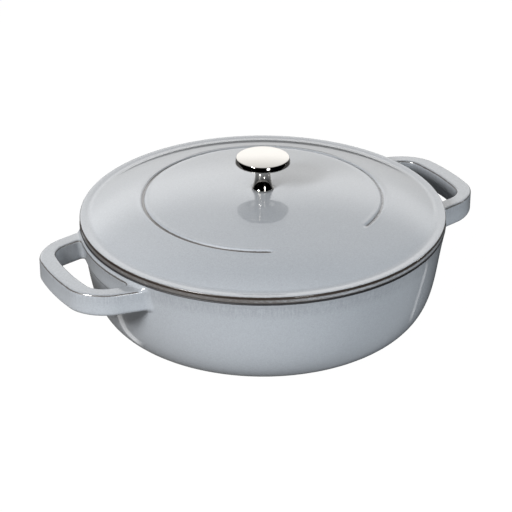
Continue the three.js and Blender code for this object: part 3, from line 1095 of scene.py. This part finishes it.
def lathe_tree():
    """Wraps a sheet round the axis, with a row for each point of the profile."""
    tree, given, result = open_group(
        "Turn a profile",
        "GeometryNodeTree",
        [("Profile", "Geometry", None), ("Columns", "Int", None), ("Finish", "Material", None)],
        [("Piece", "Geometry")],
    )
    plus, minus, times, _ = arithmetic(tree)
    profile = given["Profile"]
    rows = add(tree, "GeometryNodeAttributeDomainSize", {0: profile}, component="MESH").outputs["Point Count"]
    sheet = add(tree, "GeometryNodeMeshGrid", {
        "Size X": 1.0, "Size Y": 1.0, "Vertices X": plus(given["Columns"], 1.0), "Vertices Y": rows,
    }).outputs[0]
    position = add(tree, "GeometryNodeInputPosition").outputs[0]
    x, y, _ = split(tree, position)
    angle = times(plus(x, 0.5), 2 * math.pi)
    row = math_node(tree, "ROUND", times(plus(y, 0.5), minus(rows, 1.0)))

    def from_profile(value, kind):
        return add(tree, "GeometryNodeSampleIndex", {
            "Geometry": profile, "Value": value, "Index": row,
        }, data_type=kind, domain="POINT").outputs[0]

    for name in ("black", "thin"):
        value = add(tree, "GeometryNodeInputNamedAttribute", {"Name": name}, data_type="FLOAT").outputs[0]
        sheet = add(tree, "GeometryNodeStoreNamedAttribute", {
            "Geometry": sheet, "Name": name, "Value": from_profile(value, "FLOAT"),
        }, data_type="FLOAT", domain="POINT").outputs[0]
    turned = add(tree, "ShaderNodeVectorRotate", {
        "Vector": from_profile(position, "FLOAT_VECTOR"), "Angle": angle,
    }, rotation_type="Z_AXIS").outputs[0]
    wrapped = add(tree, "GeometryNodeSetPosition", {"Geometry": sheet, "Position": turned}).outputs[0]
    closed = add(tree, "GeometryNodeMergeByDistance", {"Geometry": wrapped, "Distance": 0.001 * MM}).outputs[0]
    smooth = add(tree, "GeometryNodeSetShadeSmooth", {"Geometry": closed}).outputs[0]
    finish_tree(tree, smooth, given["Finish"], result["Piece"])
    return tree


lathe = lathe_tree()
print("lathe:", len(lathe.nodes), "nodes")

# %% Using the lathe
def run_tree(name, mesh, tree, values):
    """The plain mesh object that a Geometry Nodes tree makes out of a mesh."""
    source = new_object(name + "_source", mesh)
    modifier = source.modifiers.new("nodes", "NODES")
    modifier.node_group = tree
    for socket in tree.interface.items_tree:
        if socket.in_out == "INPUT" and socket.name in values:
            modifier[socket.identifier] = values[socket.name]
    ready = source.evaluated_get(bpy.context.evaluated_depsgraph_get())
    result = bpy.data.meshes.new_from_object(ready)
    source.modifiers.clear()
    bpy.data.objects.remove(source)
    result.name = name
    print(f"{name}: {len(result.polygons)} faces")
    return new_object(name, result)


def turn(name, stretches, columns, finish):
    """Turns a profile, given as stretches of points with their blackness and thinness."""
    points, black, thin = joined(stretches)
    upright = np.column_stack([points[:, 0], np.zeros(len(points)), points[:, 1]])
    mesh = new_mesh(name + "_profile", upright.tolist(), [])
    store(mesh, "black", black)
    store(mesh, "thin", thin)
    return run_tree(name, mesh, lathe, {"Columns": columns, "Finish": finish})


def turn_metal(name, parts, columns, finish):
    """Turns a profile of bare metal."""
    return turn(name, [(part, 0, 0) for part in parts], columns, finish)


# %% [markdown]
# ## Lid
# The lid's crown falls gently from the knob to a fine ring groove. Beyond it the flank grows steeper and ends in
# a small hollow at a slightly dished brim. Underneath, the lid is black like the inside of the pot, and a flange
# keeps it in its place on the rim. Two Bezier curves that share a tangent at the groove give the top, and the
# underside is the top moved inwards by the lid's thickness.

# %% Lid profile
brim_top = rim_height + 5.4 * MM
brim_width = 6 * MM
brim_dish = 0.44 * MM
brim_round = 1.3 * MM
brim_fillet = 10 * MM
shoulder_angle = 24
groove_radius = 92.8 * MM
groove_height = crown_top - 7 * MM
lid_thickness = 4.2 * MM
flange_outer = rim_radius - wall_thickness - 1 * MM
flange_inner = flange_outer - 4 * MM
flange_round = 1 * MM
knob_seat = 11 * MM
bore_radius = 3.3 * MM

crown_edge = np.array([knob_seat, crown_top])
groove_point = np.array([groove_radius, groove_height])
crown_handle = np.array([(knob_seat + groove_radius) / 2, crown_top])
hollow_centre = np.array([lid_radius - brim_width, brim_top - brim_dish + brim_fillet])
hollow = arc(hollow_centre, brim_fillet, -90 - shoulder_angle, -84, 12)
flank_foot = hollow[0]


def meeting_point(first, first_slope, second, second_slope):
    """Where two straight lines of the profile cross."""
    x = second[1] - first[1] + first_slope * first[0] - second_slope * second[0]
    x /= first_slope - second_slope
    return np.array([x, first[1] + first_slope * (x - first[0])])


crown_slope = (groove_point - crown_handle)[1] / (groove_point - crown_handle)[0]
flank_handle = meeting_point(groove_point, crown_slope, flank_foot, -math.tan(math.radians(shoulder_angle)))
crown = bezier([crown_edge, crown_handle, groove_point], 60)
flank = bezier([groove_point, flank_handle, flank_foot], 40)
lid_top = np.concatenate([crown, flank[1:]])
lid_under = moved_right(lid_top, lid_thickness)
lid_under = evenly(lid_under[lid_under[:, 0] < flange_inner - 2 * flange_round], 50)
print(f"the flank starts at {groove_height / MM:.1f} mm and ends at {flank_foot[1] / MM:.1f} mm")

# %% Turn the lid
groove_middle = groove_radius + 0.6 * MM
groove_half = 5 * MM
near_groove = np.abs(lid_top[:, 0] - groove_middle) < groove_half + 0.5 * MM
groove_zone = groove_middle + np.linspace(-groove_half, groove_half, 41)
top_radius = np.unique(np.concatenate([lid_top[~near_groove, 0], groove_zone]))
lid_upper = np.column_stack([top_radius, np.interp(top_radius, lid_top[:, 0], lid_top[:, 1])])
edge_centre = (lid_radius - brim_round, brim_top - brim_round)
brim_edge = arc(edge_centre, brim_round, 0, 90, 8)
brim_thin = np.interp(np.linspace(0, 90, 9), [0, 30, 60, 90], [1, 1, 0.1, 0])
lower_round = 0.5 * MM
lower_edge = arc((lid_radius - lower_round, rim_height + lower_round), lower_round, -90, 0, 5)
side_strip = [(lid_radius, height) for height in np.linspace(lower_edge[-1, 1], brim_edge[0, 1], 7)[1:-1]]

lid_casting = turn("lid_casting", [
    ([(bore_radius, crown_top - lid_thickness)], 1, 0),
    (lid_under, 1, 0),
    (arc((flange_inner - flange_round, rim_height + flange_round), flange_round, 90, 0, 3), 1, 0),
    (arc((flange_inner + flange_round, lid_low.z + flange_round), flange_round, 180, 270, 4), 1, 0),
    (arc((flange_outer - flange_round, lid_low.z + flange_round), flange_round, -90, 0, 4), 1, 0),
    ([(flange_outer, rim_height)], 1, 0),
    (lower_edge, smooth_step(5, 3, np.arange(6)), [0.7, 0.7, 0.7, 0.7, 0.6, 0.5]),
    (side_strip, 0, [0.49, 0.4, 0.42, 0.46, 0.85]),
    (brim_edge, 0, brim_thin),
    (hollow[::-1], 0, 0),
    (lid_upper[::-1][1:], 0, 0),
    ([(bore_radius, crown_top)], 0, 0),
    ([(bore_radius, crown_top - lid_thickness)], 1, 0),
], 320, iron)

# %% [markdown]
# The ring groove stops short of the front and leaves a plain stretch there. A lathe can't stop half way round,
# so the groove is pressed into the turned mesh: points near its circle move down, less and less towards its ends.
# Its lips stand a little proud. Its bottom is painted darker with the thin enamel's colours, partly for thin
# enamel and partly as painted shade in the groove, less so on the right.

# %% Press the groove
groove_across = np.array([-5, -3.8, -2.6, -1.9, -1.2, -0.5, 0, 0.5, 1.2, 1.9, 2.6, 3.8, 5]) * MM
groove_depths = np.array([0, -0.12, -0.26, -0.1, 0.5, 1.2, 1.35, 1.2, 0.5, -0.1, -0.26, -0.12, 0]) * MM
groove_gap = 25
groove_run_out = 2.5
groove_thin_and_shade = 0.52
groove_lighter_right = 0.4
groove_lighter_from = (70, 120)
groove_darkening_depth = (0.4 * MM, 1 * MM)


def degrees_from_left(points):
    """How far round from the left points lie, either way."""
    return np.degrees(np.abs(np.arctan2(points[:, 1], -points[:, 0])))


def press_groove(mesh):
    """Presses the groove into the lid, paints its bottom darker for thin enamel and painted shade, and gives back
    how many points moved down.
    """
    points = mesh_points(mesh)
    radius = np.hypot(points[:, 0], points[:, 1])
    from_front = np.degrees(np.abs(np.arctan2(points[:, 0], -points[:, 1])))
    on_top = points[:, 2] > groove_height - lid_thickness / 2
    deep = on_top * np.interp(radius - groove_middle, groove_across, groove_depths)
    deep *= smooth_step(groove_gap, groove_gap + groove_run_out, from_front)
    points[:, 2] -= deep
    mesh.vertices.foreach_set("co", points.ravel())
    # The groove's bottom is darkened through the thin mask: partly thin enamel, partly painted shade in the
    # recess, less on the right.
    bottom = groove_thin_and_shade * (1 - groove_lighter_right * smooth_step(*groove_lighter_from, degrees_from_left(points)))
    store(mesh, "thin", np.maximum(stored(mesh, "thin"), bottom * smooth_step(*groove_darkening_depth, deep)))
    mesh.update()
    return int((deep > 0).sum())


print(press_groove(lid_casting.data), "points pressed down for the groove")

# %% [markdown]
# Firing leaves the lid's upright edge uneven: the enamel is thicker on the right, and on the left it is burnt
# dull, so that it mirrors little there. The turned lid is the same all round, so this is changed point by point.

# %% Vary the lid's edge
edge_depth = 2 * MM
edge_cover = 0.42
edge_cover_from = (50, 90)
dull_depth = 0.7 * MM
dull_from = (70, 56)


def vary_edge(mesh):
    """Makes the enamel on the lid's edge thicker on its right side and dull on its left."""
    points = mesh_points(mesh)
    radius = np.hypot(points[:, 0], points[:, 1])
    from_left = degrees_from_left(points)
    thin = stored(mesh, "thin")
    keep = np.where(thin < 0.5, 1 - edge_cover * smooth_step(*edge_cover_from, from_left), 1)
    store(mesh, "thin", np.where(radius > lid_radius - edge_depth, keep * thin, thin))
    store(mesh, "dull", (radius > lid_radius - dull_depth) * smooth_step(*dull_from, from_left))


vary_edge(lid_casting.data)
print(int((stored(lid_casting.data, "dull") > 0).sum()), "dull points on the lid's edge")

# %% [markdown]
# ## Basting bumps
# Steam gathers under the lid on rings of small bumps and drips back evenly. They repeat by a rule, each ring has
# six more than the one inside it, so a Geometry Nodes tree places them: it works out each bump's ring and angle
# from its number, and finds the underside above that place by a ray.

# %% The bumps' tree
def bumps_tree():
    """Places bumps under the lid, ring by ring."""
    tree, given, result = open_group(
        "Rings of bumps",
        "GeometryNodeTree",
        [("Lid", "Geometry", None), ("Rings", "Int", None), ("Bumps in first ring", "Int", None),
         ("First radius", "Float", None), ("Ring step", "Float", None), ("Bump radius", "Float", None),
         ("Bump height", "Float", None), ("Finish", "Material", None)],
        [("Bumps", "Geometry")],
    )
    plus, minus, times, over = arithmetic(tree)
    first, rings = given["Bumps in first ring"], given["Rings"]
    total = times(over(times(rings, plus(rings, 1.0)), 2.0), first)
    index = add(tree, "GeometryNodeInputIndex").outputs[0]
    root = math_node(tree, "SQRT", plus(over(times(index, 8.0), first), 1.0))
    ring = math_node(tree, "FLOOR", over(minus(root, 0.999), 2.0))
    next_ring = plus(ring, 1.0)
    before = times(times(ring, next_ring), 0.5)
    place_in_ring = minus(index, times(before, first))
    angle = times(over(plus(place_in_ring, 0.5), times(next_ring, first)), 2 * math.pi)
    radius = plus(given["First radius"], times(ring, given["Ring step"]))
    spot = vector_of(tree, *(times(radius, math_node(tree, wave, angle)) for wave in ("COSINE", "SINE")))
    hit = add(tree, "GeometryNodeRaycast", {
        "Target Geometry": given["Lid"], "Source Position": spot, "Ray Direction": (0, 0, 1), "Ray Length": 1.0,
    }).outputs["Hit Position"]
    points = add(tree, "GeometryNodePoints", {"Count": total, "Position": hit}).outputs[0]
    ball = add(tree, "GeometryNodeMeshUVSphere", {"Segments": 16, "Rings": 10, "Radius": 1.0}).outputs["Mesh"]
    smooth = add(tree, "GeometryNodeSetShadeSmooth", {"Geometry": ball}).outputs[0]
    size = vector_of(tree, given["Bump radius"], given["Bump radius"], given["Bump height"])
    placed = add(tree, "GeometryNodeInstanceOnPoints", {"Points": points, "Instance": smooth, "Scale": size})
    finish_tree(tree, placed.outputs[0], given["Finish"], result["Bumps"])
    return tree


basting_bumps = run_tree("basting_bumps", lid_casting.data.copy(), bumps_tree(), {
    "Rings": 4, "Bumps in first ring": 6, "First radius": 31 * MM, "Ring step": 26 * MM,
    "Bump radius": 2.6 * MM, "Bump height": 2.4 * MM, "Finish": iron,
})
store(basting_bumps.data, "black", np.ones(len(basting_bumps.data.vertices)))

# %% [markdown]
# ## Knob
# The knob is turned from solid metal: a nearly flat disc whose rim is widest at its foot, on a stem that narrows
# to a neck and swells again into a small foot. Short Bezier curves give the stem, the rim and the face.

# %% Knob profile
disc_radius = knob_high.x
disc_top = knob_high.z - 0.55 * MM
disc_bottom = knob_high.z - 4.8 * MM
disc_edge = 0.3 * MM
face_radius = disc_radius - 1.05 * MM
neck_radius = 6 * MM
foot_radius = 8.4 * MM
foot_edge_round = 0.2 * MM
seat = knob_low.z
foot_band = seat + 1.2 * MM
neck_height = seat + 13.2 * MM
hole_top = seat + 14 * MM

foot_curve = bezier([
    (foot_radius - foot_edge_round, foot_band + foot_edge_round),
    (neck_radius, foot_band + 7 * MM),
    (neck_radius, neck_height),
], 24)
under_disc = bezier([
    (neck_radius, neck_height),
    (neck_radius, disc_bottom - 1.4 * MM),
    (disc_radius - disc_edge, disc_bottom),
], 28)
rim_curve = bezier([
    (disc_radius, disc_bottom + disc_edge),
    (disc_radius - 0.65 * MM, disc_top - 0.7 * MM),
    (face_radius, disc_top - 0.05 * MM),
], 16)
face_curve = bezier([
    (face_radius - 0.25 * MM, disc_top + 0.01 * MM),
    (face_radius / 2, knob_high.z),
    (0, knob_high.z),
], 24)

# %% Turn the knob
knob_turned = turn_metal("knob_turned", [
    [(bore_radius, seat), (foot_radius - foot_edge_round, seat)],
    [(foot_radius, seat + foot_edge_round), (foot_radius, foot_band)],
    foot_curve[:-1],
    under_disc,
    rim_curve,
    face_curve,
    [(0, hole_top), (bore_radius, hole_top - bore_radius / 2), (bore_radius, seat)],
], 128, polished)

# %% [markdown]
# ## Washer and screw
# Under the lid, a screw with a pan head and a washer hold the knob. They show when the lid is lifted. The screw's
# thread is a ridge that climbs one pitch on each turn, so the turned shank is pressed in by a wave that depends
# on height and angle together. The crossed slots for the driver are cut by a Boolean modifier.

# %% Washer
washer_radius = washer_high.x
washer_edge = 0.3 * MM
washer = turn_metal("knob_washer_ring", [
    [(bore_radius, washer_low.z + washer_edge), (bore_radius + washer_edge, washer_low.z)],
    arc((washer_radius - washer_edge, washer_low.z + washer_edge), washer_edge, -90, 0, 3),
    arc((washer_radius - washer_edge, washer_high.z - washer_edge), washer_edge, 0, 90, 3),
    [(bore_radius + washer_edge, washer_high.z), (bore_radius, washer_high.z - washer_edge)],
    [(bore_radius, washer_low.z + washer_edge)],
], 64, plain_steel)

# %% Screw with its thread
shank_radius = 3 * MM
head_radius = screw_high.x
head_round = 1.2 * MM
head_edge = 0.2 * MM
head_top = washer_low.z
tip_length = 1 * MM
tip_radius = shank_radius - 0.8 * MM
thread_pitch = 1 * MM
thread_depth = 0.55 * MM
shank_heights = np.arange(head_top, screw_high.z - tip_length, thread_pitch / 8)

screw = turn_metal("knob_screw_threaded", [
    [(0, screw_low.z), (head_radius / 2, screw_low.z)],
    arc((head_radius - head_round, screw_low.z + head_round), head_round, -90, 0, 6),
    [(head_radius, head_top - head_edge), (head_radius - head_edge, head_top)],
    np.column_stack([np.full(len(shank_heights), shank_radius), shank_heights]),
    [(tip_radius, screw_high.z), (0, screw_high.z)],
], 32, plain_steel)


def press_thread(mesh):
    """Presses the thread's groove into the shank above the washer."""
    for point in mesh.vertices:
        radius = math.hypot(point.co.x, point.co.y)
        if point.co.z > washer_high.z and radius > shank_radius - 0.1 * MM:
            climb = point.co.z / thread_pitch - math.atan2(point.co.y, point.co.x) / (2 * math.pi)
            deep = thread_depth * (0.5 - 0.5 * math.cos(2 * math.pi * climb))
            point.co.xy *= (radius - deep) / radius


press_thread(screw.data)

# %% Slots for the driver
slot_length = 6.4 * MM
slot_width = 1.4 * MM
slot_depth = 1.8 * MM


def cross_cutter():
    """A cross as deep as the slots, made of one corner turned to the four quarters."""
    half_long, half_wide = slot_length / 2, slot_width / 2
    outline = [(half_long, half_wide), (half_wide, half_wide), (half_wide, half_long)]
    for _ in range(3):
        outline += [(-y, x) for x, y in outline[-3:]]
    points = [(x, y, screw_low.z + level) for level in (-slot_depth, slot_depth) for x, y in outline]
    count = len(outline)
    faces = [tuple(range(count))[::-1], tuple(range(count, 2 * count))]
    faces += [(i, (i + 1) % count, count + (i + 1) % count, count + i) for i in range(count)]
    return new_object("cross_cutter", new_mesh("cross_cutter", points, faces))


def cut(piece, cutter):
    """Takes the cutter's form out of a piece."""
    modifier = piece.modifiers.new("cut", "BOOLEAN")
    modifier.operation = "DIFFERENCE"
    modifier.solver = "EXACT"
    modifier.object = cutter
    mesh = bpy.data.meshes.new_from_object(piece.evaluated_get(bpy.context.evaluated_depsgraph_get()))
    piece.modifiers.clear()
    piece.data = mesh
    bpy.data.objects.remove(cutter)


cut(screw, cross_cutter())
print("screw:", len(screw.data.polygons), "faces after the slots are cut")

# %% [markdown]
# ## Hand the pieces to the frame
# Each piece rides on a body of the model, so that it moves with it, and stands for the solid that it replaces,
# which is hidden.

# %% Bodies, replaced solids and finishes
for piece, body, node, finish in (
    (pot_casting, "pot", "pot_body", "grey_enamel"),
    (lid_casting, "lid_set", "lid", "grey_enamel"),
    (basting_bumps, "lid_set", "lid", "grey_enamel"),
    (knob_turned, "lid_set", "knob", "polished_metal"),
    (washer, "lid_set", "knob_washer", "plain_steel"),
    (screw, "lid_set", "knob_screw", "plain_steel"),
):
    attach(piece, body)
    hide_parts(node)
